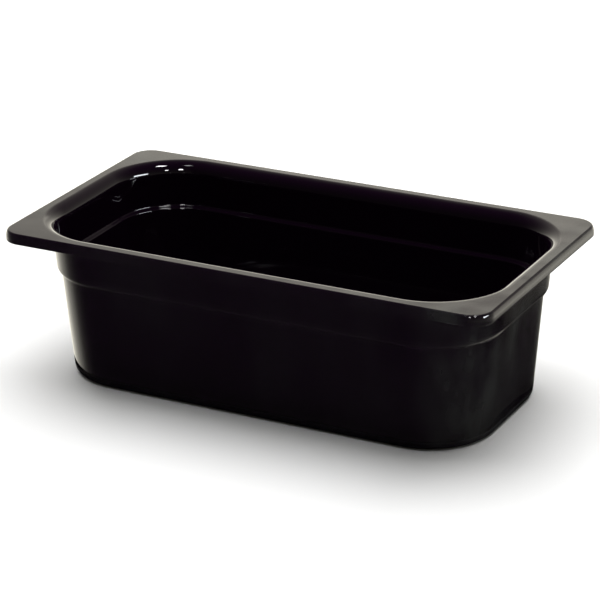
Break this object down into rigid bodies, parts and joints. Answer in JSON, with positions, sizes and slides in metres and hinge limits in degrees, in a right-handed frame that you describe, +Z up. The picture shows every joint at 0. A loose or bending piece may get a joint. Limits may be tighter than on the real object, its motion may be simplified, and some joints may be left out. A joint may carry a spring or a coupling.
{
  "type": "food pan",
  "caption": "Deep rectangular food pan, open on top, with a turned-down rim, a rolled-in lip, a stacking shoulder and a tapered round-cornered well.",
  "frame": {"origin": "centre of the footprint on the plane the pan stands on", "axes": "+X along the long sides, +Y along the short sides, +Z up out of the mouth"},
  "size_m": [0.325, 0.176, 0.101],
  "materials": {
    "pan": "gloss"
  },
  "bodies": {
    "root": {"pan": "pan"}
  },
  "joints": []
}
